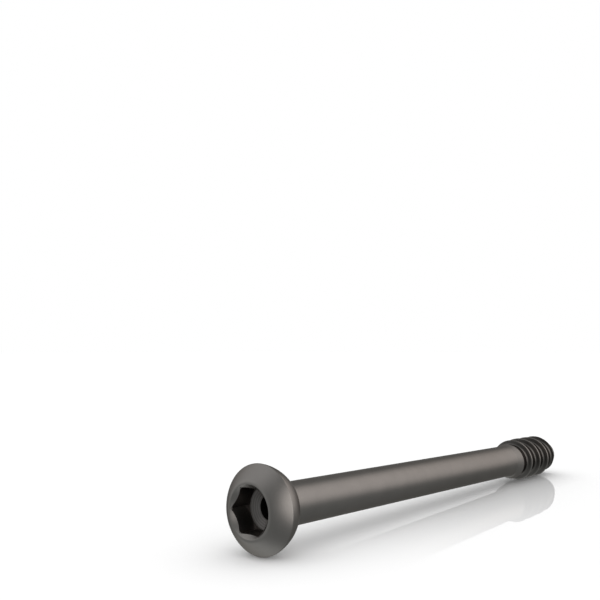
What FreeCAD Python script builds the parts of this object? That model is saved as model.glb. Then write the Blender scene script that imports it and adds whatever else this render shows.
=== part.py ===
import FreeCAD, Part
import math
import os

import Sketcher

# Cannulated cancellous bone screw, turned from one titanium bar.
# The body's X axis is the screw's axis: the head's end face is at X = 0 and the tip at X = overall_length.
# The finished screw lies on the ground plane on two points: the rim of its head and the crest of its thread.

V = FreeCAD.Vector
doc = FreeCAD.newDocument("bone_screw")


# Driving dimensions, in millimetres and degrees

sizes = doc.addObject("Spreadsheet::Sheet", "sizes")
dimensions = (
    ("overall_length", 70.0, "head end face to tip end face"),
    ("shank_diameter", 4.55, "smooth shank between head and thread"),
    ("head_diameter", 9.1, "widest circle of the head"),
    ("rim_height", 1.55, "end face to the widest circle"),
    ("rim_radius", 0.25, "rounding of the rim"),
    ("face_diameter", 5.8, "flat land round the socket's mouth"),
    ("seat_offset", 0.9, "rim to the centre of the ball-shaped seat, towards the end face"),
    ("neck_radius", 0.5, "fillet between seat and shank"),
    ("thread_diameter", 6.2, "over the crests"),
    ("thread_length", 14.35, "foot of the run-out cone to the tip end face"),
    ("runout_length", 3.1, "run-out cone, along the axis"),
    ("thread_pitch", 3.0, "single start, right hand"),
    ("crest_width", 0.2, "flat land on the crest"),
    ("root_diameter", 4.64, "bottom of the thread groove"),
    ("load_flank_angle", 5.0, "flank that faces the head, from square to the axis"),
    ("lead_flank_angle", 26.0, "flank that faces the tip, from the axis"),
    ("load_root_radius", 0.3, "groove corner under the load flank"),
    ("lead_root_radius", 3.0, "long hollow at the foot of the leading flank"),
    ("first_crest", 0.67, "tip end face back to the first crest, on the side where the groove is drawn"),
    ("tip_length", 3.0, "cone at the tip, along the axis"),
    ("tip_diameter", 4.04, "tip end face, to the sharp corner"),
    ("nose_radius", 0.3, "rounding of that corner"),
    ("socket_width", 4.5, "hexagon socket across flats"),
    ("socket_depth", 2.55, "end face to the bottom of the flats"),
    ("socket_turn", 2.8, "hexagon's corner from the side where the groove is drawn"),
    ("drill_undersize", 0.06, "pilot drill under the width across flats"),
    ("drill_point_angle", 130.0, "cone at the bottom of the pilot hole"),
    ("countersink_diameter", 5.35, "at the end face"),
    ("countersink_angle", 90.0, "included"),
    ("bore_diameter", 2.5, "through hole for the guide wire"),
    ("rest_turn", -2.8, "turn of the lying screw about its own axis"),
    ("run_over", 1.0, "reach of a cutting profile past the blank"),
)
for row, (alias, value, note) in enumerate(dimensions, start=1):
    sizes.set("A%d" % row, alias)
    sizes.set("B%d" % row, str(value))
    sizes.set("C%d" % row, note)
    sizes.setAlias("B%d" % row, alias)
doc.recompute()


def size(alias):
    """Value of one cell, used only to draw a sketch close to its solved shape."""
    return float(sizes.get(alias))


# The one body and its sketches

body = doc.addObject("PartDesign::Body", "Screw")
body.Label = "cannulated_bone_screw"


def plane(role):
    """One of the body's own origin planes."""
    return next(item for item in body.Origin.OriginFeatures if item.Role == role)


def new_sketch(name, role):
    """Sketch on one of the origin planes."""
    sketch = body.newObject("Sketcher::SketchObject", name)
    sketch.AttachmentSupport = [(plane(role), "")]
    sketch.MapMode = "FlatFace"
    return sketch


def line(sketch, start, end):
    """Straight stretch of an outline; gives its number in the sketch."""
    return sketch.addGeometry(Part.LineSegment(V(*start, 0), V(*end, 0)))


def arc(sketch, centre, radius, start_angle, end_angle):
    """Round stretch of an outline, drawn anticlockwise."""
    circle = Part.Circle(V(*centre, 0), V(0, 0, 1), radius)
    return sketch.addGeometry(Part.ArcOfCircle(circle, start_angle, end_angle))


POINTS = ("edge", "start", "end", "centre")
ORIGIN = (-1, "start")
X_AXIS = -1


def by_number(where):
    """The sketch numbers the points of a line in the order of POINTS."""
    return [POINTS.index(item) if item in POINTS else item for item in where]


def fix(sketch, kind, *where):
    """Geometric constraint."""
    sketch.addConstraint(Sketcher.Constraint(kind, *by_number(where)))


def bind(sketch, name, formula, kind, *where):
    """Dimension that follows the sheet through a formula."""
    value = sketch.evalExpression(formula)
    number = sketch.addConstraint(Sketcher.Constraint(kind, *by_number(where), value))
    sketch.renameConstraint(number, name)
    sketch.setExpression("Constraints." + name, formula)


# Turned blank: the outline of head, shank, run-out cone, thread cylinder and tip, revolved about the axis.
# The head is a lens: a dome round the socket and the ball-shaped seat behind it, both centred on the axis.
# The first guess of each arc comes from the tangency it has to solve to.

shank_radius = size("shank_diameter") / 2
crest_radius = size("thread_diameter") / 2
face_radius = size("face_diameter") / 2
length = size("overall_length")

rim_centre = (size("rim_height"), size("head_diameter") / 2 - size("rim_radius"))
seat_centre = (rim_centre[0] - size("seat_offset"), 0)
seat_radius = size("rim_radius") + math.hypot(size("seat_offset"), rim_centre[1])
seat_top = math.atan2(rim_centre[1], size("seat_offset"))
neck_height = shank_radius + size("neck_radius")
neck_reach = math.sqrt((seat_radius + size("neck_radius")) ** 2 - neck_height ** 2)
neck_centre = (seat_centre[0] + neck_reach, neck_height)
seat_foot = math.atan2(neck_height, neck_centre[0] - seat_centre[0])
rim_share = size("rim_radius") / rim_centre[0]
dome_base = rim_centre[0] ** 2 + rim_centre[1] ** 2 - face_radius ** 2 - size("rim_radius") ** 2
dome_base /= 2 * rim_centre[0]
dome_root = math.sqrt(dome_base ** 2 + (1 - rim_share ** 2) * face_radius ** 2)
dome_radius = (dome_base * rim_share + dome_root) / (1 - rim_share ** 2)
dome_centre = (dome_base + dome_radius * rim_share, 0)
dome_end = math.pi - math.atan2(face_radius, dome_centre[0])
rim_end = math.pi - math.atan2(rim_centre[1], dome_centre[0] - rim_centre[0])
tip_slope = math.atan2(crest_radius - size("tip_diameter") / 2, size("tip_length"))
nose_reach = size("nose_radius") * math.tan((math.pi / 2 - tip_slope) / 2)
nose_centre = (length - size("nose_radius"), size("tip_diameter") / 2 - nose_reach)


def on_arc(centre, radius, angle):
    """Point of an arc."""
    return (centre[0] + radius * math.cos(angle), centre[1] + radius * math.sin(angle))


blank = new_sketch("BlankOutline", "XY_Plane")
nose_high = on_arc(nose_centre, size("nose_radius"), math.pi / 2 - tip_slope)
thread_foot = length - size("thread_length")
thread_full = thread_foot + size("runout_length")

end_face = line(blank, (0, 0), (0, face_radius))
dome = arc(blank, dome_centre, dome_radius, rim_end, dome_end)
rim = arc(blank, rim_centre, size("rim_radius"), seat_top, rim_end)
seat = arc(blank, seat_centre, seat_radius, seat_foot, seat_top)
neck = arc(blank, neck_centre, size("neck_radius"), seat_foot + math.pi, 1.5 * math.pi)
shank = line(blank, (neck_centre[0], shank_radius), (thread_foot, shank_radius))
runout = line(blank, (thread_foot, shank_radius), (thread_full, crest_radius))
cylinder = line(blank, (thread_full, crest_radius), (length - size("tip_length"), crest_radius))
tip_cone = line(blank, (length - size("tip_length"), crest_radius), nose_high)
nose = arc(blank, nose_centre, size("nose_radius"), 0, math.pi / 2 - tip_slope)
tip_face = line(blank, (length, nose_centre[1]), (length, 0))
axis = line(blank, (length, 0), (0, 0))
corner = blank.addGeometry(Part.Point(V(length, size("tip_diameter") / 2, 0)), True)

fix(blank, "Coincident", end_face, "start", *ORIGIN)
fix(blank, "Vertical", end_face)
fix(blank, "Coincident", end_face, "end", dome, "end")
fix(blank, "Tangent", dome, "start", rim, "end")
fix(blank, "Tangent", rim, "start", seat, "end")
fix(blank, "Tangent", seat, "start", neck, "start")
fix(blank, "Tangent", neck, "end", shank, "start")
fix(blank, "Horizontal", shank)
fix(blank, "Coincident", shank, "end", runout, "start")
fix(blank, "Coincident", runout, "end", cylinder, "start")
fix(blank, "Horizontal", cylinder)
fix(blank, "Coincident", cylinder, "end", tip_cone, "start")
fix(blank, "Tangent", tip_cone, "end", nose, "end")
fix(blank, "Tangent", nose, "start", tip_face, "start")
fix(blank, "Vertical", tip_face)
fix(blank, "Coincident", tip_face, "end", axis, "start")
fix(blank, "Coincident", axis, "end", end_face, "start")
fix(blank, "Horizontal", axis)
fix(blank, "PointOnObject", dome, "centre", X_AXIS)
fix(blank, "PointOnObject", seat, "centre", X_AXIS)
fix(blank, "PointOnObject", corner, "start", tip_cone)
fix(blank, "PointOnObject", corner, "start", tip_face)

bind(blank, "face", "sizes.face_diameter / 2", "DistanceY", *ORIGIN, end_face, "end")
bind(blank, "rim_place", "sizes.rim_height", "DistanceX", *ORIGIN, rim, "centre")
bind(blank, "rim_reach", "sizes.head_diameter / 2 - sizes.rim_radius", "DistanceY", *ORIGIN, rim, "centre")
bind(blank, "rim_rounding", "sizes.rim_radius", "Radius", rim)
bind(blank, "seat_place", "sizes.seat_offset", "DistanceX", seat, "centre", rim, "centre")
bind(blank, "neck_rounding", "sizes.neck_radius", "Radius", neck)
bind(blank, "shank_reach", "sizes.shank_diameter / 2", "DistanceY", *ORIGIN, shank, "start")
runout_foot = "sizes.overall_length - sizes.thread_length"
bind(blank, "runout_foot", runout_foot, "DistanceX", *ORIGIN, runout, "start")
bind(blank, "runout_reach", "sizes.runout_length", "DistanceX", runout, "start", runout, "end")
bind(blank, "crest_reach", "sizes.thread_diameter / 2", "DistanceY", *ORIGIN, cylinder, "start")
bind(blank, "tip_place", "sizes.overall_length - sizes.tip_length", "DistanceX", *ORIGIN, cylinder, "end")
bind(blank, "whole", "sizes.overall_length", "DistanceX", *ORIGIN, axis, "start")
bind(blank, "tip_reach", "sizes.tip_diameter / 2", "DistanceY", *ORIGIN, corner, "start")
bind(blank, "nose_rounding", "sizes.nose_radius", "Radius", nose)

turned = body.newObject("PartDesign::Revolution", "TurnedBlank")
turned.Profile = blank
turned.ReferenceAxis = (blank, ["H_Axis"])
turned.Angle = 360
doc.recompute()


# Thread: one buttress groove cut along a helix. It starts in the air past the tip and ends in the air over
# the shank, whose radius is under the root's, so the ridge fades out on the tip cone and the run-out cone.

root_radius = size("root_diameter") / 2
outer_radius = crest_radius + size("run_over")
load_top = length - size("first_crest") + 2 * size("thread_pitch")
lead_top = load_top - size("thread_pitch") + size("crest_width")
load_lean = math.radians(size("load_flank_angle"))
lead_slope = math.radians(size("lead_flank_angle"))
load_corner = load_top - (crest_radius - root_radius) * math.tan(load_lean)
lead_corner = lead_top + (crest_radius - root_radius) / math.tan(lead_slope)
load_tangent = size("load_root_radius") * math.tan((math.pi / 2 - load_lean) / 2)
lead_tangent = size("lead_root_radius") * math.tan(lead_slope / 2)
load_centre = (load_corner - load_tangent, root_radius + size("load_root_radius"))
lead_centre = (lead_corner + lead_tangent, root_radius + size("lead_root_radius"))
load_low = on_arc(load_centre, size("load_root_radius"), -load_lean)
lead_low = on_arc(lead_centre, size("lead_root_radius"), 1.5 * math.pi - lead_slope)

groove = new_sketch("GrooveOutline", "XY_Plane")
load_side = line(groove, (load_top, outer_radius), (load_top, crest_radius))
load_flank = line(groove, (load_top, crest_radius), load_low)
load_root = arc(groove, load_centre, size("load_root_radius"), 1.5 * math.pi, 2 * math.pi - load_lean)
root = line(groove, (load_centre[0], root_radius), (lead_centre[0], root_radius))
lead_root = arc(groove, lead_centre, size("lead_root_radius"), 1.5 * math.pi - lead_slope, 1.5 * math.pi)
lead_flank = line(groove, lead_low, (lead_top, crest_radius))
lead_side = line(groove, (lead_top, crest_radius), (lead_top, outer_radius))
groove_top = line(groove, (lead_top, outer_radius), (load_top, outer_radius))

fix(groove, "Vertical", load_side)
fix(groove, "Coincident", load_side, "end", load_flank, "start")
fix(groove, "Tangent", load_flank, "end", load_root, "end")
fix(groove, "Tangent", load_root, "start", root, "start")
fix(groove, "Horizontal", root)
fix(groove, "Tangent", root, "end", lead_root, "end")
fix(groove, "Tangent", lead_root, "start", lead_flank, "start")
fix(groove, "Coincident", lead_flank, "end", lead_side, "start")
fix(groove, "Vertical", lead_side)
fix(groove, "Coincident", lead_side, "end", groove_top, "start")
fix(groove, "Horizontal", groove_top)
fix(groove, "Coincident", groove_top, "end", load_side, "start")

start_place = "sizes.overall_length - sizes.first_crest + 2 * sizes.thread_pitch"
bind(groove, "start_place", start_place, "DistanceX", *ORIGIN, load_side, "end")
bind(groove, "crest_height", "sizes.thread_diameter / 2", "DistanceY", *ORIGIN, load_side, "end")
bind(groove, "lead_height", "sizes.thread_diameter / 2", "DistanceY", *ORIGIN, lead_side, "start")
bind(groove, "root_height", "sizes.root_diameter / 2", "DistanceY", *ORIGIN, root, "start")
opening = "sizes.thread_pitch - sizes.crest_width"
bind(groove, "opening", opening, "DistanceX", lead_side, "start", load_side, "end")
bind(groove, "reach", "sizes.run_over", "DistanceY", load_side, "end", load_side, "start")
bind(groove, "load_root_rounding", "sizes.load_root_radius", "Radius", load_root)
bind(groove, "lead_root_rounding", "sizes.lead_root_radius", "Radius", lead_root)
bind(groove, "load_lean", "sizes.load_flank_angle * 1 deg", "Angle", load_flank, "end", load_side, "end")
bind(groove, "lead_slope", "sizes.lead_flank_angle * 1 deg", "Angle", lead_flank, "start", root, "start")

thread = body.newObject("PartDesign::SubtractiveHelix", "ThreadGroove")
thread.Profile = groove
thread.ReferenceAxis = (groove, ["H_Axis"])
thread.Mode = "pitch-height-angle"
thread.setExpression("Pitch", "sizes.thread_pitch")
thread.setExpression("Height", "sizes.thread_length - sizes.first_crest + 2 * sizes.thread_pitch")
thread.LeftHanded = False
thread.Reversed = True


# Hexagon socket, broached from the end face, with two of its corners level when the screw lies at rest

hexagon = new_sketch("SocketHexagon", "YZ_Plane")
corner_radius = size("socket_width") / 2 / math.cos(math.pi / 6)
socket_turn = math.radians(size("socket_turn"))
guide = hexagon.addGeometry(Part.Circle(V(0, 0, 0), V(0, 0, 1), corner_radius), True)
fix(hexagon, "Coincident", guide, "centre", *ORIGIN)
bind(hexagon, "corners", "sizes.socket_width / 2 / cos(30 deg)", "Radius", guide)
corners = [on_arc((0, 0), corner_radius, socket_turn + turn * math.pi / 3) for turn in range(6)]
flats = [line(hexagon, corners[turn], corners[(turn + 1) % 6]) for turn in range(6)]
for turn in range(6):
    fix(hexagon, "Coincident", flats[turn], "end", flats[(turn + 1) % 6], "start")
    fix(hexagon, "PointOnObject", flats[turn], "start", guide)
for turn in range(1, 6):
    fix(hexagon, "Equal", flats[0], flats[turn])
ray = hexagon.addGeometry(Part.LineSegment(V(0, 0, 0), V(*corners[0], 0)), True)
fix(hexagon, "Coincident", ray, "start", *ORIGIN)
fix(hexagon, "Coincident", ray, "end", flats[0], "start")
bind(hexagon, "turn", "sizes.socket_turn * 1 deg", "Angle", ray)

socket = body.newObject("PartDesign::Pocket", "HexSocket")
socket.Profile = hexagon
socket.Reversed = True
socket.setExpression("Length", "sizes.socket_depth")


# Countersink, pilot hole with its drill point, and the bore for the guide wire, cut as one turned form

countersink_radius = size("countersink_diameter") / 2
drill_radius = (size("socket_width") - size("drill_undersize")) / 2
bore_radius = size("bore_diameter") / 2
countersink_slope = math.tan(math.radians(size("countersink_angle") / 2))
countersink_end = (countersink_radius - drill_radius) / countersink_slope
drill_point_slope = math.tan(math.radians(size("drill_point_angle") / 2))
point_end = size("socket_depth") + (drill_radius - bore_radius) / drill_point_slope
before, beyond = -size("run_over"), length + size("run_over")

through = new_sketch("BoreOutline", "XY_Plane")
mouth_side = line(through, (before, 0), (before, countersink_radius))
mouth = line(through, (before, countersink_radius), (0, countersink_radius))
countersink = line(through, (0, countersink_radius), (countersink_end, drill_radius))
pilot = line(through, (countersink_end, drill_radius), (size("socket_depth"), drill_radius))
drill_point = line(through, (size("socket_depth"), drill_radius), (point_end, bore_radius))
bore = line(through, (point_end, bore_radius), (beyond, bore_radius))
exit_side = line(through, (beyond, bore_radius), (beyond, 0))
bore_axis = line(through, (beyond, 0), (before, 0))
outline = [mouth_side, mouth, countersink, pilot, drill_point, bore, exit_side, bore_axis]
for here, following in zip(outline, outline[1:] + outline[:1]):
    fix(through, "Coincident", here, "end", following, "start")
for upright in (mouth_side, exit_side):
    fix(through, "Vertical", upright)
for level in (mouth, pilot, bore):
    fix(through, "Horizontal", level)
fix(through, "PointOnObject", bore_axis, "start", X_AXIS)
fix(through, "PointOnObject", bore_axis, "end", X_AXIS)

bind(through, "before", "sizes.run_over", "DistanceX", mouth_side, "start", *ORIGIN)
bind(through, "mouth_reach", "sizes.countersink_diameter / 2", "DistanceY", *ORIGIN, mouth, "start")
fix(through, "Vertical", mouth, "end", *ORIGIN)
countersink_lean = "sizes.countersink_angle / 2 * 1 deg"
bind(through, "countersink_lean", countersink_lean, "Angle", countersink, "end", pilot, "end")
pilot_reach = "(sizes.socket_width - sizes.drill_undersize) / 2"
bind(through, "pilot_reach", pilot_reach, "DistanceY", *ORIGIN, pilot, "end")
bind(through, "pilot_end", "sizes.socket_depth", "DistanceX", *ORIGIN, pilot, "end")
bind(through, "point_lean", "sizes.drill_point_angle / 2 * 1 deg", "Angle", drill_point, "end", pilot, "end")
bind(through, "bore_reach", "sizes.bore_diameter / 2", "DistanceY", *ORIGIN, bore, "start")
bind(through, "beyond", "sizes.overall_length + sizes.run_over", "DistanceX", *ORIGIN, exit_side, "start")

cannulation = body.newObject("PartDesign::Groove", "Cannulation")
cannulation.Profile = through
cannulation.ReferenceAxis = (through, ["H_Axis"])
cannulation.Angle = 360
body.Tip = cannulation
doc.recompute()


# Rest: the rim of the head and the tip-most full crest on the underside touch the ground plane.
# The crest passes the underside a quarter pitch nearer the head than on the side where the groove is drawn,
# and the turn at rest shifts it a little along the axis.

pitch = size("thread_pitch")
crest_back = size("first_crest") + pitch / 4 + pitch * size("rest_turn") / 360
crest_back += pitch * max(0, math.ceil((size("tip_length") - crest_back) / pitch))
crest_place = length - max(size("tip_length"), crest_back - size("crest_width"))
run = crest_place - rim_centre[0]
rise = rim_centre[1] - crest_radius
tilt = math.asin(size("rim_radius") / math.hypot(run, rise)) + math.atan2(rise, run)
lift = rim_centre[1] * math.cos(tilt) + rim_centre[0] * math.sin(tilt) + size("rim_radius")
dip = FreeCAD.Rotation(V(0, 1, 0), math.degrees(tilt))
turn_at_rest = FreeCAD.Rotation(V(1, 0, 0), size("rest_turn"))
body.Placement = FreeCAD.Placement(
    V(-length / 2 * math.cos(tilt), 0, lift),
    dip.multiply(turn_at_rest),
)
doc.recompute()


# Checks on the document, then one file for the one piece

for item in doc.Objects:
    if "Invalid" in item.State or "Error" in item.State:
        raise RuntimeError("%s did not compute: %s" % (item.Name, item.State))
for sketch in (blank, groove, hexagon, through):
    if sketch.solve() != 0 or not sketch.FullyConstrained:
        raise RuntimeError("%s is not fully constrained" % sketch.Name)
for cut, before_cut in ((thread, turned), (socket, thread), (cannulation, socket)):
    if cut.Shape.Volume >= before_cut.Shape.Volume:
        raise RuntimeError("%s removes nothing" % cut.Name)
if body.Shape.isNull() or not body.Shape.isValid() or len(body.Shape.Solids) != 1:
    raise RuntimeError("the screw is not one valid solid")

os.makedirs("parts", exist_ok=True)
body.Shape.exportStep(os.path.join("parts", body.Label + ".step"))
print("%s: %.1f mm3, tilt %.3f deg" % (body.Label, body.Shape.Volume, math.degrees(tilt)))
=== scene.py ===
import math

import bmesh
import bpy
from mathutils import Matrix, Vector


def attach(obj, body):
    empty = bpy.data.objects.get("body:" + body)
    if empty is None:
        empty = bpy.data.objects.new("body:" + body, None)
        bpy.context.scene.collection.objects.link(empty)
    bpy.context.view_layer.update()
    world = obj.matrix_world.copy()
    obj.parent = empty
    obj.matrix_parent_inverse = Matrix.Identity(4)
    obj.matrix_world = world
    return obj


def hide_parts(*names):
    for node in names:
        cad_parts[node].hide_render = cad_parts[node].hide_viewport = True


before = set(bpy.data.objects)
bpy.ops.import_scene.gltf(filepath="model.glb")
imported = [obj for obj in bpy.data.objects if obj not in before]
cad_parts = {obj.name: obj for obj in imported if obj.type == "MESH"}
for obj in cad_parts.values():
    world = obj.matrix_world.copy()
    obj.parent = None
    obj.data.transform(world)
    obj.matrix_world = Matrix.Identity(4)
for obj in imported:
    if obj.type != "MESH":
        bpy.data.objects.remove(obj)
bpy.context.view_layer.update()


# The turned form: the screw is one bar of titanium alloy, turned to a domed head with a rounded rim, a round
# seat, a smooth shank and a cone at the tip. It is drilled right through for a guide wire, and the head is
# countersunk and broached with a hexagon socket. Lengths are millimetres from the head's end face.

overall_length = 70.0
head_radius = 9.1 / 2
face_radius = 5.8 / 2
rim_height = 1.55
rim_radius = 0.25
seat_offset = 0.9
neck_radius = 0.5
shank_radius = 4.55 / 2
thread_foot = overall_length - 14.35
thread_end = overall_length - 0.7
crest_radius = 6.2 / 2
tip_length = 3.0
tip_radius = 4.04 / 2
nose_radius = 0.3
bore_radius = 2.5 / 2
socket_width = 4.5
socket_depth = 2.55
socket_turn = math.radians(2.8)
left_to_broach = 0.06
drill_radius = (socket_width - left_to_broach) / 2
drill_point = math.radians(130 / 2)
countersink_radius = 5.35 / 2
edge_break = 0.05
mouth_break = 0.04
face_blend = 0.65

# Steps of a full turn, a multiple of six for the hexagon's corners, and steps round each rounding

steps_around = 216
break_steps = 3
nose_steps = 7
blend_steps = 6
dome_steps = 24
rim_steps = 14
seat_steps = 24
neck_steps = 10

# Rows that no edge calls for: inside the bore's two ends, in the countersink and along the shank

bore_row = 4.0
mouth_row = 0.2
shank_rows = 10

# A row is turned, or follows the broached flats, or lies where the flats run out into the countersink

TURNED = 0
BROACHED = 1
MOUTH = 2


def arc(centre, radius, start, end, steps):
    """Points of an arc from one angle to another, both ends included."""
    turns = [start + (end - start) * step / steps for step in range(steps + 1)]
    return [(centre[0] + radius * math.cos(turn), centre[1] + radius * math.sin(turn)) for turn in turns]


def eased(corners):
    """Line with rounded corners, each given as length along the axis, radius, rounding and steps round it."""
    points = []
    for place, (along, reach, rounding, steps) in enumerate(corners):
        here = Vector((along, reach))
        if rounding == 0:
            points.append((along, reach))
            continue
        back = (Vector(corners[place - 1][:2]) - here).normalized()
        ahead = (Vector(corners[place + 1][:2]) - here).normalized()
        half = back.angle(ahead) / 2
        centre = here + (back + ahead).normalized() * rounding / math.sin(half)
        first = here + back * rounding / math.tan(half) - centre
        last = here + ahead * rounding / math.tan(half) - centre
        sweep = first.angle_signed(last)
        start = math.atan2(first.y, first.x)
        points += arc(centre, rounding, start, start - sweep, steps)
    return points


def turned(points):
    """Rows of the outline that the lathe or the drill leaves round."""
    return [(*point, TURNED) for point in points]


# The tip, from the thread's end round the nose and into the bore

tip_slope = (crest_radius - tip_radius) / tip_length
tip_side = [
    (thread_end, crest_radius - (thread_end - overall_length + tip_length) * tip_slope, 0, 0),
    (overall_length, tip_radius, nose_radius, nose_steps),
    (overall_length, bore_radius, edge_break, break_steps),
    (overall_length - bore_row, bore_radius, 0, 0),
]

# The bore's other end and the cone that the pilot drill's point leaves

point_end = socket_depth + (drill_radius - bore_radius) / math.tan(drill_point)
bore_side = [
    (point_end + bore_row, bore_radius, 0, 0),
    (point_end, bore_radius, edge_break, break_steps),
    (socket_depth, drill_radius, 0, 0),
]

# The dome, the rim, the seat and the neck are arcs that run into each other

rim_centre = (rim_height, head_radius - rim_radius)
seat_centre = (rim_height - seat_offset, 0)
seat_radius = rim_radius + math.hypot(seat_offset, rim_centre[1])
seat_top = math.atan2(rim_centre[1], seat_offset)
neck_height = shank_radius + neck_radius
neck_reach = math.sqrt((seat_radius + neck_radius) ** 2 - neck_height ** 2)
neck_centre = (seat_centre[0] + neck_reach, neck_height)
seat_foot = math.atan2(neck_height, neck_reach)
rim_share = rim_radius / rim_height
dome_base = (rim_height ** 2 + rim_centre[1] ** 2 - face_radius ** 2 - rim_radius ** 2) / (2 * rim_height)
dome_root = math.sqrt(dome_base ** 2 + (1 - rim_share ** 2) * face_radius ** 2)
dome_radius = (dome_base * rim_share + dome_root) / (1 - rim_share ** 2)
dome_centre = (dome_base + dome_radius * rim_share, 0)
dome_start = math.pi - math.atan2(face_radius, dome_centre[0])
dome_end = math.pi - math.atan2(rim_centre[1], dome_centre[0] - rim_height)

# The land round the countersink's mouth blends into the dome, up to the dome's fifth point

dome = arc(dome_centre, dome_radius, dome_start, dome_end, dome_steps)
blended = 5
mouth_side = [
    (mouth_row, countersink_radius - mouth_row, 0, 0),
    (0, countersink_radius, mouth_break, break_steps),
    (0, face_radius, face_blend, blend_steps),
    (*dome[blended - 1], 0, 0),
]

# The whole outline, from the tip through the bore and the socket, over the head and down the shank; where two
# arcs meet, one of them leaves out the point that they share

outline = turned(eased(tip_side) + eased(bore_side))
outline += [(socket_depth, drill_radius, BROACHED), (socket_depth, drill_radius, MOUTH)]
outline += turned(eased(mouth_side) + dome[blended:-1])
outline += turned(arc(rim_centre, rim_radius, dome_end, seat_top, rim_steps))
outline += turned(arc(seat_centre, seat_radius, seat_top, seat_foot, seat_steps)[1:-1])
outline += turned(arc(neck_centre, neck_radius, seat_foot + math.pi, 1.5 * math.pi, neck_steps))
for row_number in range(1, shank_rows + 1):
    along = neck_centre[0] + (thread_foot - neck_centre[0]) * row_number / shank_rows
    outline.append((along, shank_radius, TURNED))


# The thread: one groove with a steep flank that faces the head, a long hollow at the foot of the sloping
# flank and a narrow land on the crest, cut with a single-point tool along a right-hand helix. It fades out in
# the run-out cone and the tip cone. The ridge is drawn for one pitch, from mid-land to mid-land.

pitch = 3.0
crest_width = 0.2
crest_break = 0.05
crest_steps = 5
root_radius = 4.64 / 2
depth = crest_radius - root_radius
lead_slope = math.radians(26)
hollow_radius = 3.0
hollow_steps = 10
load_lean = math.radians(5)
corner_radius = 0.3
corner_steps = 8
runout_length = 3.1
runout_slope = (crest_radius - shank_radius) / runout_length

# The crest starts so far back from the tip's end, and winds so many turns towards the head

first_crest = 0.67
thread_turns = 5.65

# The ridge's points, from land to hollow to land; long runs are divided, so that the cones cut it evenly

row_spacing = 0.12
ridge_corners = [
    (crest_width / 2, crest_radius, 0, 0),
    (crest_width, crest_radius, crest_break, break_steps),
    (crest_width + depth / math.tan(lead_slope), root_radius, hollow_radius, hollow_steps),
    (pitch - depth * math.tan(load_lean), root_radius, corner_radius, corner_steps),
    (pitch, crest_radius, crest_break, crest_steps),
    (pitch + crest_width / 2, crest_radius, 0, 0),
]
ridge_points = eased(ridge_corners)
ridge = ridge_points[:1]
for before, point in zip(ridge_points, ridge_points[1:]):
    parts = math.ceil(math.dist(before, point) / row_spacing)
    for part in range(1, parts + 1):
        along = before[0] + (point[0] - before[0]) * part / parts
        reach = before[1] + (point[1] - before[1]) * part / parts
        ridge.append((along, reach))


# How the screw lies: the rim of its head and the lowest crest that the tip cone leaves whole touch the
# floor, so it dips a little towards its tip. Nothing holds it.

MM = 0.001
rest_turn = math.radians(-2.8)

# The floor is the line that touches the rim's arc and the far corner of that crest's land

crest_back = first_crest + pitch / 4 + pitch * rest_turn / math.tau
crest_back += pitch * max(0, math.ceil((tip_length - crest_back) / pitch))
crest_place = overall_length - max(tip_length, crest_back - crest_width)
run_between = crest_place - rim_centre[0]
rise_between = rim_centre[1] - crest_radius
dip = math.asin(rim_radius / math.hypot(run_between, rise_between)) + math.atan2(rise_between, run_between)
lift = rim_centre[1] * math.cos(dip) + rim_centre[0] * math.sin(dip) + rim_radius
start_place = Vector((-overall_length / 2 * math.cos(dip), 0, lift)) * MM


# The screw's mesh: both outlines are the points of one small drawing. The nodes turn the first round the
# axis, carry the second along the helix, weld the two and lay the screw in its place.

def add(tree, kind, settings=None, inputs=None):
    """Node of one kind with its settings; each input gets its value, or a link from what feeds it."""
    node = tree.nodes.new(kind)
    for name, value in (settings or {}).items():
        setattr(node, name, value)
    for name, value in (inputs or {}).items():
        if isinstance(value, bpy.types.NodeSocket):
            tree.links.new(value, node.inputs[name])
        else:
            node.inputs[name].default_value = value
    return node


screw_sizes = {
    "Steps Around": steps_around,
    "Outline Rows": len(outline),
    "Ridge Rows": len(ridge),
    "Thread Turns": thread_turns,
    "Socket Width": socket_width,
    "Socket Turn": socket_turn,
    "Socket Depth": socket_depth,
    "Pilot Radius": drill_radius,
    "Point End": point_end,
    "Countersink Radius": countersink_radius,
    "Crest Start": overall_length - first_crest,
    "Pitch": pitch,
    "Thread Foot": thread_foot,
    "Thread End": thread_end,
    "Shank Radius": shank_radius,
    "Crest Radius": crest_radius,
    "Runout Slope": runout_slope,
    "Tip Start": overall_length - tip_length,
    "Tip Slope": tip_slope,
    "Edge Ease": 0.06,
    "Weld Distance": 0.003,
    "Rest Turn": rest_turn,
    "Dip": dip,
    "Place": start_place,
}
tree = bpy.data.node_groups.new("bone_screw_form", "GeometryNodeTree")
tree.interface.new_socket("Geometry", in_out="INPUT", socket_type="NodeSocketGeometry")
socket_types = {int: "NodeSocketInt", float: "NodeSocketFloat", Vector: "NodeSocketVector"}
for name, value in screw_sizes.items():
    tree.interface.new_socket(name, in_out="INPUT", socket_type=socket_types[type(value)])
tree.interface.new_socket("Geometry", in_out="OUTPUT", socket_type="NodeSocketGeometry")
given = add(tree, "NodeGroupInput").outputs
index = add(tree, "GeometryNodeInputIndex").outputs[0]
point_places = add(tree, "GeometryNodeInputPosition").outputs[0]


def row_and_column(columns):
    """Row and column of each point of a grid with so many columns."""
    share = add(tree, "ShaderNodeMath", {"operation": "DIVIDE"}, {0: index, 1: columns}).outputs[0]
    row = add(tree, "ShaderNodeMath", {"operation": "FLOOR"}, {0: share}).outputs[0]
    row_start = add(tree, "ShaderNodeMath", {"operation": "MULTIPLY"}, {0: row, 1: columns}).outputs[0]
    column = add(tree, "ShaderNodeMath", {"operation": "SUBTRACT"}, {0: index, 1: row_start}).outputs[0]
    return row, column


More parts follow.
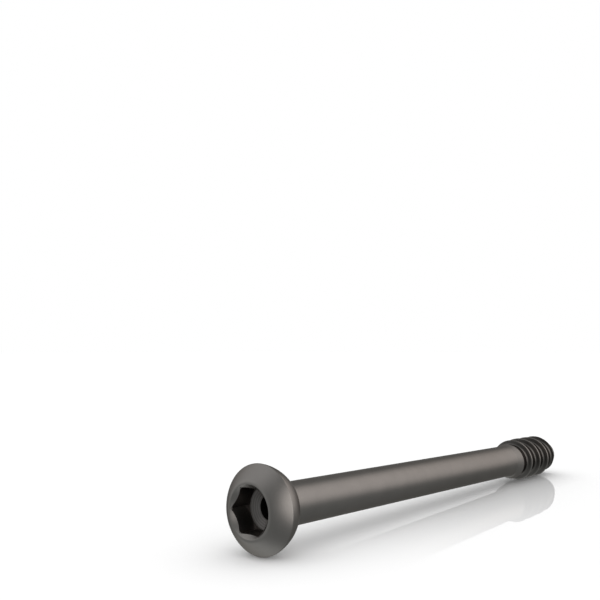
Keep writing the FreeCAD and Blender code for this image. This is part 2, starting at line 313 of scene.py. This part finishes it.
def drawn_point(number):
    """Length along the axis, radius and kind of row of one point of the drawing."""
    point = add(tree, "GeometryNodeSampleIndex", {"data_type": "FLOAT_VECTOR"}, {
        "Geometry": given["Geometry"], "Value": point_places, "Index": number}).outputs[0]
    return add(tree, "ShaderNodeSeparateXYZ", inputs={0: point}).outputs


def set_round_axis(grid, along, reach, angle):
    """Grid with each point at its length along the axis, its radius and its angle round the axis."""
    cosine = add(tree, "ShaderNodeMath", {"operation": "COSINE"}, {0: angle}).outputs[0]
    sine = add(tree, "ShaderNodeMath", {"operation": "SINE"}, {0: angle}).outputs[0]
    across = add(tree, "ShaderNodeMath", {"operation": "MULTIPLY"}, {0: reach, 1: cosine}).outputs[0]
    up = add(tree, "ShaderNodeMath", {"operation": "MULTIPLY"}, {0: reach, 1: sine}).outputs[0]
    place = add(tree, "ShaderNodeCombineXYZ", inputs={0: along, 1: across, 2: up}).outputs[0]
    return add(tree, "GeometryNodeSetPosition", inputs={
        "Geometry": grid.outputs["Mesh"], "Position": place}).outputs[0]


def keep_painted_shade(form, share):
    """Form whose points keep how much painted shade darkens them, from none to all of it."""
    return add(tree, "GeometryNodeStoreNamedAttribute", {"data_type": "FLOAT", "domain": "POINT"}, {
        "Geometry": form, "Name": "corner", "Value": share}).outputs[0]


# The turned form is a grid of one row for each point of the outline

columns = add(tree, "ShaderNodeMath", {"operation": "ADD"}, {0: given["Steps Around"], 1: 1.0}).outputs[0]
turned_grid = add(tree, "GeometryNodeMeshGrid", inputs={
    "Vertices X": given["Outline Rows"], "Vertices Y": columns})
row, column = row_and_column(columns)
turn_share = add(tree, "ShaderNodeMath", {"operation": "DIVIDE"}, {
    0: column, 1: given["Steps Around"]}).outputs[0]
swept = add(tree, "ShaderNodeMath", {"operation": "MULTIPLY"}, {0: turn_share, 1: math.tau}).outputs[0]
angle = add(tree, "ShaderNodeMath", {"operation": "ADD"}, {0: swept, 1: given["Socket Turn"]}).outputs[0]
drawn = drawn_point(row)

# A broached row follows the hexagon, and the mouth's row lies where the hexagon meets the countersink, whose
# sides slope at 45 degrees

from_corner = add(tree, "ShaderNodeMath", {"operation": "MODULO"}, {0: swept, 1: math.pi / 3}).outputs[0]
from_middle = add(tree, "ShaderNodeMath", {"operation": "SUBTRACT"}, {
    0: from_corner, 1: math.pi / 6}).outputs[0]
cosine = add(tree, "ShaderNodeMath", {"operation": "COSINE"}, {0: from_middle}).outputs[0]
across_flats = add(tree, "ShaderNodeMath", {"operation": "DIVIDE"}, {
    0: given["Socket Width"], 1: cosine}).outputs[0]
flat_reach = add(tree, "ShaderNodeMath", {"operation": "MULTIPLY"}, {0: across_flats, 1: 0.5}).outputs[0]
mouth_depth = add(tree, "ShaderNodeMath", {"operation": "SUBTRACT"}, {
    0: given["Countersink Radius"], 1: flat_reach}).outputs[0]
is_broached = add(tree, "ShaderNodeMath", {"operation": "GREATER_THAN"}, {
    0: drawn["Z"], 1: (TURNED + BROACHED) / 2}).outputs[0]
is_mouth = add(tree, "ShaderNodeMath", {"operation": "GREATER_THAN"}, {
    0: drawn["Z"], 1: (BROACHED + MOUTH) / 2}).outputs[0]
turned_reach = add(tree, "ShaderNodeMix", inputs={
    "Factor": is_broached, "A": drawn["Y"], "B": flat_reach}).outputs[0]
turned_along = add(tree, "ShaderNodeMix", inputs={
    "Factor": is_mouth, "A": drawn["X"], "B": mouth_depth}).outputs[0]
turned_form = set_round_axis(turned_grid, turned_along, turned_reach, angle)

# The broached walls are darkened as painted shade: half of it at their foot and none at their mouth

wall_shade_at_foot = 0.5
at_foot = add(tree, "ShaderNodeMath", {"operation": "SUBTRACT"}, {0: is_broached, 1: is_mouth}).outputs[0]
painted_shade_on_wall = add(tree, "ShaderNodeMath", {"operation": "MULTIPLY"}, {
    0: at_foot, 1: wall_shade_at_foot}).outputs[0]
turned_shaded = keep_painted_shade(turned_form, painted_shade_on_wall)

# The ridge is a grid of one row for each of its points, wound along the helix from the tip to the head

wound_steps = add(tree, "ShaderNodeMath", {"operation": "MULTIPLY"}, {
    0: given["Thread Turns"], 1: given["Steps Around"]}).outputs[0]
last_step = add(tree, "ShaderNodeMath", {"operation": "CEIL"}, {0: wound_steps}).outputs[0]
step_count = add(tree, "ShaderNodeMath", {"operation": "ADD"}, {0: last_step, 1: 1.0}).outputs[0]
ridge_grid = add(tree, "GeometryNodeMeshGrid", inputs={
    "Vertices X": given["Ridge Rows"], "Vertices Y": step_count})
ridge_row, step = row_and_column(step_count)
turns_back = add(tree, "ShaderNodeMath", {"operation": "DIVIDE"}, {
    0: step, 1: given["Steps Around"]}).outputs[0]
wound = add(tree, "ShaderNodeMath", {"operation": "MULTIPLY"}, {0: turns_back, 1: math.tau}).outputs[0]
ridge_angle = add(tree, "ShaderNodeMath", {"operation": "SUBTRACT"}, {
    0: given["Socket Turn"], 1: wound}).outputs[0]
ridge_number = add(tree, "ShaderNodeMath", {"operation": "ADD"}, {
    0: ridge_row, 1: given["Outline Rows"]}).outputs[0]
ridge_drawn = drawn_point(ridge_number)
turn_ratio = add(tree, "ShaderNodeMath", {"operation": "DIVIDE"}, {0: ridge_angle, 1: math.tau}).outputs[0]
climb = add(tree, "ShaderNodeMath", {"operation": "MULTIPLY"}, {0: turn_ratio, 1: given["Pitch"]}).outputs[0]
crest_line = add(tree, "ShaderNodeMath", {"operation": "ADD"}, {0: climb, 1: given["Crest Start"]}).outputs[0]
ridge_free = add(tree, "ShaderNodeMath", {"operation": "ADD"}, {
    0: crest_line, 1: ridge_drawn["X"]}).outputs[0]
ridge_along = add(tree, "ShaderNodeClamp", inputs={
    "Value": ridge_free, "Min": given["Thread Foot"], "Max": given["Thread End"]}).outputs[0]

# The blank's two cones cut the ridge down where it starts and ends

past_foot = add(tree, "ShaderNodeMath", {"operation": "SUBTRACT"}, {
    0: ridge_along, 1: given["Thread Foot"]}).outputs[0]
runout = add(tree, "ShaderNodeMath", {"operation": "MULTIPLY_ADD"}, {
    0: past_foot, 1: given["Runout Slope"], 2: given["Shank Radius"]}).outputs[0]
past_tip = add(tree, "ShaderNodeMath", {"operation": "SUBTRACT"}, {
    0: given["Tip Start"], 1: ridge_along}).outputs[0]
tip_cone = add(tree, "ShaderNodeMath", {"operation": "MULTIPLY_ADD"}, {
    0: past_tip, 1: given["Tip Slope"], 2: given["Crest Radius"]}).outputs[0]
cut_by_runout = add(tree, "ShaderNodeMath", {"operation": "SMOOTH_MIN"}, {
    0: ridge_drawn["Y"], 1: runout, 2: given["Edge Ease"]}).outputs[0]
ridge_reach = add(tree, "ShaderNodeMath", {"operation": "SMOOTH_MIN"}, {
    0: cut_by_runout, 1: tip_cone, 2: given["Edge Ease"]}).outputs[0]
ridge_form = set_round_axis(ridge_grid, ridge_along, ridge_reach, ridge_angle)

# The corner at the steep flank's foot is darkened as painted shade. Each pair of lengths is where that starts
# and is full: along the pitch, below the crests and past the thread's foot.

along_start = 1.5
along_full = 2.4
below_start = 0.02
below_full = 0.14
past_start = 0.6
past_full = 1.8
towards_corner = add(tree, "ShaderNodeMapRange", {"interpolation_type": "SMOOTHSTEP"}, {
    "Value": ridge_drawn["X"], "From Min": along_start, "From Max": along_full}).outputs[0]
below_crest = add(tree, "ShaderNodeMapRange", {"interpolation_type": "SMOOTHSTEP"}, {
    "Value": ridge_reach, "From Min": crest_radius - below_start,
    "From Max": crest_radius - below_full}).outputs[0]
past_runout = add(tree, "ShaderNodeMapRange", {"interpolation_type": "SMOOTHSTEP"}, {
    "Value": past_foot, "From Min": past_start, "From Max": past_full}).outputs[0]
under_flank = add(tree, "ShaderNodeMath", {"operation": "MULTIPLY"}, {
    0: towards_corner, 1: below_crest}).outputs[0]
painted_shade_in_corner = add(tree, "ShaderNodeMath", {"operation": "MULTIPLY"}, {
    0: under_flank, 1: past_runout}).outputs[0]
ridge_shaded = keep_painted_shade(ridge_form, painted_shade_in_corner)

joined = add(tree, "GeometryNodeJoinGeometry", inputs={0: turned_shaded})
tree.links.new(ridge_shaded, joined.inputs[0])
welded = add(tree, "GeometryNodeMergeByDistance", inputs={
    "Geometry": joined.outputs[0], "Distance": given["Weld Distance"]}).outputs[0]


# The finish: the screw is blasted with fine beads, then anodised to a dark warm grey. It is satin, so a light
# shows as a soft broad band along the shank, and the grain is too fine to see but breaks the band's edges.

def linear(hex_colour):
    """sRGB hex value as linear colour with alpha."""
    channels = [int(hex_colour[k:k + 2], 16) / 255 for k in (1, 3, 5)]
    return [c / 12.92 if c <= 0.04045 else ((c + 0.055) / 1.055) ** 2.4 for c in channels] + [1.0]


def cleared(owner):
    """Node tree of a new material or world, without its first nodes."""
    owner.use_nodes = True
    owner.node_tree.nodes.clear()
    return owner.node_tree


def millimetres_on_screw(tree):
    """Place on the screw in millimetres from the head's end face along the axis, however it lies."""
    place = add(tree, "ShaderNodeTexCoord").outputs["Object"]
    return add(tree, "ShaderNodeMapping", {"vector_type": "TEXTURE"}, {
        "Vector": place, "Location": start_place, "Rotation": (0, dip, 0), "Scale": (MM, MM, MM)}).outputs[0]


titanium = bpy.data.materials.new("anodised_blasted_titanium")
finish = cleared(titanium)
on_screw = millimetres_on_screw(finish)

# Blasting leaves dimples of about 0.05 mm. They are drawn at 0.14 mm to show at all, and vary the gloss too.

dimples_per_mm = 7.0
dimple_depth = 0.02
dimple_gloss = (0.31, 0.39)
dimples = add(finish, "ShaderNodeTexNoise", inputs={
    "Vector": on_screw, "Scale": dimples_per_mm, "Detail": 3.0, "Roughness": 0.6}).outputs[0]
grain = add(finish, "ShaderNodeBump", inputs={
    "Height": dimples, "Strength": 0.12, "Distance": dimple_depth * MM}).outputs[0]
gloss = add(finish, "ShaderNodeMapRange", inputs={
    "Value": dimples, "From Min": 0.3, "From Max": 0.7,
    "To Min": dimple_gloss[0], "To Max": dimple_gloss[1]}).outputs[0]

# The oxide film is thicker in places about 2 mm across, which shifts its tone by a few percent. In the
# thread's corners and on the socket's walls the colour is darkened towards near black as painted shade.

clouds_per_mm = 0.45
painted_shade_strength = 0.55
thick_film = linear("#7a7673")
thin_film = linear("#87827f")
painted_shade_colour = linear("#302d2b")
low_angle_film = linear("#bdb9b6")

# A mix node has its two colours in inputs 6 and 7, and the mixed one in output 2

colour_a = 6
colour_b = 7
mixed = 2
clouds = add(finish, "ShaderNodeTexNoise", inputs={
    "Vector": on_screw, "Scale": clouds_per_mm, "Detail": 4.0, "Roughness": 0.55}).outputs[0]
tone = add(finish, "ShaderNodeMix", {"data_type": "RGBA"}, {
    "Factor": clouds, colour_a: thick_film, colour_b: thin_film}).outputs[mixed]
# Painted shade: the share stored on the mesh darkens the film's colour
painted_shade_weight = add(finish, "ShaderNodeAttribute", {"attribute_name": "corner"}).outputs["Fac"]
shade = add(finish, "ShaderNodeMath", {"operation": "MULTIPLY"}, {0: painted_shade_weight, 1: painted_shade_strength}).outputs[0]
film = add(finish, "ShaderNodeMix", {"data_type": "RGBA"}, {
    "Factor": shade, colour_a: tone, colour_b: painted_shade_colour}).outputs[mixed]
skin = add(finish, "ShaderNodeBsdfPrincipled", inputs={
    "Base Color": film, "Metallic": 1.0, "Roughness": gloss, "Normal": grain,
    "Specular Tint": low_angle_film})
add(finish, "ShaderNodeOutputMaterial", inputs={"Surface": skin.outputs[0]})

# The drill's point leaves fine rings on the socket's floor, drawn 0.22 mm apart, which is coarser than the
# real feed. The wave texture repeats 20 / tau times for each unit of its scale.

drilled = bpy.data.materials.new("drilled_titanium_floor")
floor_finish = cleared(drilled)
on_floor = millimetres_on_screw(floor_finish)
rings_per_mm = 4.584
ring_scale = rings_per_mm * math.tau / 20
ring_depth = 0.02
ring_valley = linear("#6c6866")
ring_top = linear("#7c7775")
rings = add(floor_finish, "ShaderNodeTexWave", {"wave_type": "RINGS", "rings_direction": "X"}, {
    "Vector": on_floor, "Scale": ring_scale, "Distortion": 0.3, "Detail": 1.0}).outputs["Fac"]
ring_tone = add(floor_finish, "ShaderNodeMix", {"data_type": "RGBA"}, {
    "Factor": rings, colour_a: ring_valley, colour_b: ring_top}).outputs[mixed]
ridged = add(floor_finish, "ShaderNodeBump", inputs={
    "Height": rings, "Strength": 0.3, "Distance": ring_depth * MM}).outputs[0]
cut = add(floor_finish, "ShaderNodeBsdfPrincipled", inputs={
    "Base Color": ring_tone, "Metallic": 1.0, "Roughness": 0.4, "Normal": ridged})
add(floor_finish, "ShaderNodeOutputMaterial", inputs={"Surface": cut.outputs[0]})

# The drill point's faces are those between the flats' end and the bore, within the pilot hole's radius

face_place = add(tree, "ShaderNodeSeparateXYZ", inputs={0: point_places}).outputs
beside_axis = add(tree, "ShaderNodeCombineXYZ", inputs={0: face_place["Y"], 1: face_place["Z"]}).outputs[0]
face_reach = add(tree, "ShaderNodeVectorMath", {"operation": "LENGTH"}, {0: beside_axis}).outputs["Value"]
past_flats = add(tree, "ShaderNodeMath", {"operation": "GREATER_THAN"}, {
    0: face_place["X"], 1: given["Socket Depth"]}).outputs[0]
before_bore = add(tree, "ShaderNodeMath", {"operation": "LESS_THAN"}, {
    0: face_place["X"], 1: given["Point End"]}).outputs[0]
in_pilot = add(tree, "ShaderNodeMath", {"operation": "LESS_THAN"}, {
    0: face_reach, 1: given["Pilot Radius"]}).outputs[0]
in_length = add(tree, "ShaderNodeMath", {"operation": "MULTIPLY"}, {0: past_flats, 1: before_bore}).outputs[0]
in_point = add(tree, "ShaderNodeMath", {"operation": "MULTIPLY"}, {0: in_length, 1: in_pilot}).outputs[0]
whole = add(tree, "GeometryNodeRealizeInstances", inputs={"Geometry": welded}).outputs[0]
coated = add(tree, "GeometryNodeSetMaterial", inputs={"Geometry": whole, "Material": titanium}).outputs[0]
dressed = add(tree, "GeometryNodeSetMaterial", inputs={
    "Geometry": coated, "Selection": in_point, "Material": drilled}).outputs[0]

# Turn and dip the screw, and bring it from millimetres to its place

rotation = add(tree, "ShaderNodeCombineXYZ", inputs={0: given["Rest Turn"], 1: given["Dip"]}).outputs[0]
laid = add(tree, "GeometryNodeTransform", inputs={
    "Geometry": dressed, "Rotation": rotation, "Scale": (MM, MM, MM),
    "Translation": given["Place"]}).outputs[0]
add(tree, "NodeGroupOutput", inputs={0: laid})

outlines = bpy.data.meshes.new("screw_outlines")
outlines.from_pydata(outline + turned(ridge), [], [])
drawing = bpy.data.objects.new("screw_drawing", outlines)
bpy.context.scene.collection.objects.link(drawing)
maker = drawing.modifiers.new("bone_screw_form", "NODES")
maker.node_group = tree
for item in tree.interface.items_tree:
    if item.in_out == "INPUT" and item.name in screw_sizes:
        maker[item.identifier] = screw_sizes[item.name]
bpy.context.view_layer.update()
evaluated = drawing.evaluated_get(bpy.context.evaluated_depsgraph_get())
turned_mesh = bpy.data.meshes.new_from_object(evaluated)
bpy.data.objects.remove(drawing)

# Faces are turned outwards, and an edge is sharp where its faces meet at more than the sharp angle

sharp_angle = math.radians(22)
shell = bmesh.new()
shell.from_mesh(turned_mesh)
bmesh.ops.recalc_face_normals(shell, faces=shell.faces)
if shell.calc_volume(signed=True) < 0:
    bmesh.ops.reverse_faces(shell, faces=shell.faces)
shell.to_mesh(turned_mesh)
shell.free()
turned_mesh.shade_smooth()
turned_mesh.set_sharp_from_angle(angle=sharp_angle)
screw = bpy.data.objects.new("turned_screw", turned_mesh)
bpy.context.scene.collection.objects.link(screw)
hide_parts("cannulated_bone_screw")
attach(screw, "root")


# Floor: a glossy white sheet that carries on out of view on every side. As a gloss does, it mirrors the screw
# where the eye meets it at a low angle, and hardly at a steeper one. What the sheet would throw up onto the
# satin metal comes from the studio's lamp below it.

sheet_reach = 3000 * MM
sheet_corners = [
    (-sheet_reach, -sheet_reach, 0),
    (sheet_reach, -sheet_reach, 0),
    (sheet_reach, sheet_reach, 0),
    (-sheet_reach, sheet_reach, 0),
]
floor_mesh = bpy.data.meshes.new("floor")
floor_mesh.from_pydata(sheet_corners, [], [(0, 1, 2, 3)])
floor = bpy.data.objects.new("floor", floor_mesh)
bpy.context.scene.collection.objects.link(floor)
floor.visible_glossy = False
sheet = bpy.data.materials.new("white_gloss_sheet")
ground = cleared(sheet)
matt = add(ground, "ShaderNodeBsdfDiffuse", inputs={"Color": linear("#fafafa")}).outputs[0]

# Close under the screw little light reaches the sheet. Its gloss dims there by how much of its surroundings
# the screw covers, so that no white strip parts the screw from its mirror image.

contact_reach = 6 * MM
contact = add(ground, "ShaderNodeAmbientOcclusion", {"samples": 8}, {
    "Distance": contact_reach}).outputs["Color"]
mirror = add(ground, "ShaderNodeBsdfGlossy", inputs={"Color": contact, "Roughness": 0.0}).outputs[0]

# The mirror image fades with distance from the screw's line, and as the eye looks down more steeply: it is
# full up to 9 degrees and gone from 16.

mirror_full = 6 * MM
mirror_gone = 42 * MM
met_steeply = 1 - math.sin(math.radians(16.14))
met_low = 1 - math.sin(math.radians(9.21))
mirror_share = 0.41
half_length = overall_length / 2 * MM
spot = add(ground, "ShaderNodeTexCoord").outputs["Object"]
spot_parts = add(ground, "ShaderNodeSeparateXYZ", inputs={0: spot}).outputs
along_screw = add(ground, "ShaderNodeClamp", inputs={
    "Value": spot_parts["X"], "Min": -half_length, "Max": half_length}).outputs[0]
nearest = add(ground, "ShaderNodeCombineXYZ", inputs={0: along_screw}).outputs[0]
away = add(ground, "ShaderNodeVectorMath", {"operation": "DISTANCE"}, {0: spot, 1: nearest}).outputs["Value"]
near_screw = add(ground, "ShaderNodeMapRange", {"interpolation_type": "SMOOTHSTEP"}, {
    "Value": away, "From Min": mirror_full, "From Max": mirror_gone,
    "To Min": 1.0, "To Max": 0.0}).outputs[0]
grazing = add(ground, "ShaderNodeLayerWeight").outputs["Facing"]
sheen = add(ground, "ShaderNodeMapRange", {"interpolation_type": "SMOOTHSTEP"}, {
    "Value": grazing, "From Min": met_steeply, "From Max": met_low,
    "To Min": 0.0, "To Max": mirror_share}).outputs[0]
mirrored = add(ground, "ShaderNodeMath", {"operation": "MULTIPLY"}, {0: near_screw, 1: sheen}).outputs[0]
surface = add(ground, "ShaderNodeMixShader", inputs={0: mirrored, 1: matt, 2: mirror}).outputs[0]
add(ground, "ShaderNodeOutputMaterial", inputs={"Surface": surface})
floor_mesh.materials.append(sheet)


# Studio light: white all round for the floor and the backdrop. What the satin metal mirrors is a dimmer room
# with soft lamps: low on the right, beside it on the near side, overhead at the rear, from below and, faint,
# from the left. Each has its direction, the cosines where it starts and is full, its brightness and colour.

lamps = [
    ((0.84, -0.37, 0.40), 0.76, 0.985, 1.08, "#fffaf7"),
    ((-0.18, -0.93, 0.24), 0.69, 0.93, 1.47, "#fffcf9"),
    ((-0.18, 0.64, 0.74), 0.45, 0.92, 0.57, "#fbfdff"),
    ((0.05, 0.45, -0.89), 0.66, 0.96, 0.54, "#f8ffff"),
    ((-0.74, 0.66, -0.10), 0.66, 0.96, 0.16, "#f8ffff"),
]
wall_brightness = 0.38
backdrop_brightness = 1.0
floor_brightness = 1.115
world = bpy.data.worlds.new("studio")
bpy.context.scene.world = world
room = cleared(world)
towards = add(room, "ShaderNodeTexCoord").outputs["Generated"]
glow = (0.0, 0.0, 0.0)
for direction, start, full, brightness, colour in lamps:
    facing = add(room, "ShaderNodeVectorMath", {"operation": "DOT_PRODUCT"}, {
        0: towards, 1: Vector(direction).normalized()}).outputs["Value"]
    lit = add(room, "ShaderNodeMapRange", {"interpolation_type": "SMOOTHSTEP"}, {
        "Value": facing, "From Min": start, "From Max": full,
        "To Min": 0.0, "To Max": brightness}).outputs[0]
    shone = add(room, "ShaderNodeVectorMath", {"operation": "SCALE"}, {
        0: linear(colour)[:3], "Scale": lit}).outputs[0]
    glow = add(room, "ShaderNodeVectorMath", {"operation": "ADD"}, {0: glow, 1: shone}).outputs[0]
lamp_light = add(room, "ShaderNodeBackground", inputs={"Color": glow}).outputs[0]
dim_walls = add(room, "ShaderNodeBackground", inputs={
    "Color": linear("#f8ffff"), "Strength": wall_brightness}).outputs[0]
studio = add(room, "ShaderNodeAddShader", inputs={0: lamp_light, 1: dim_walls}).outputs[0]

# A ray off the satin metal is glossy but not a sharp mirror's; every other ray finds plain white

ray = add(room, "ShaderNodeLightPath").outputs
satin_ray = add(room, "ShaderNodeMath", {"operation": "SUBTRACT"}, {
    0: ray["Is Glossy Ray"], 1: ray["Is Singular Ray"]}).outputs[0]
white_strength = add(room, "ShaderNodeMapRange", inputs={
    "Value": ray["Is Diffuse Ray"], "To Min": backdrop_brightness, "To Max": floor_brightness}).outputs[0]
white_light = add(room, "ShaderNodeBackground", inputs={
    "Color": linear("#ffffff"), "Strength": white_strength}).outputs[0]
seen = add(room, "ShaderNodeMixShader", inputs={0: satin_ray, 1: white_light, 2: studio}).outputs[0]
add(room, "ShaderNodeOutputWorld", inputs={"Surface": seen})

bpy.context.scene.view_settings.view_transform = "Standard"


# Camera: low beside the head's end, looking along the screw. Its place, its turn and its focal length, given
# in pixels of the square picture, are those at which the screw's edges fall on the photograph's.

image_width = 600
focal_length = 759.4
camera_place = (-88.876, -52.957, 20.493)
heading = math.radians(-49.323)
rise = math.radians(3.683)
camera_data = bpy.data.cameras.new("camera")
camera_data.sensor_width = 36.0
camera_data.lens = focal_length / image_width * camera_data.sensor_width
camera_data.clip_start = 1 * MM
camera_data.clip_end = 20000 * MM
camera = bpy.data.objects.new("camera", camera_data)
bpy.context.scene.collection.objects.link(camera)
camera.location = Vector(camera_place) * MM
camera.rotation_euler = (math.pi / 2 + rise, 0, heading)
bpy.context.scene.camera = camera
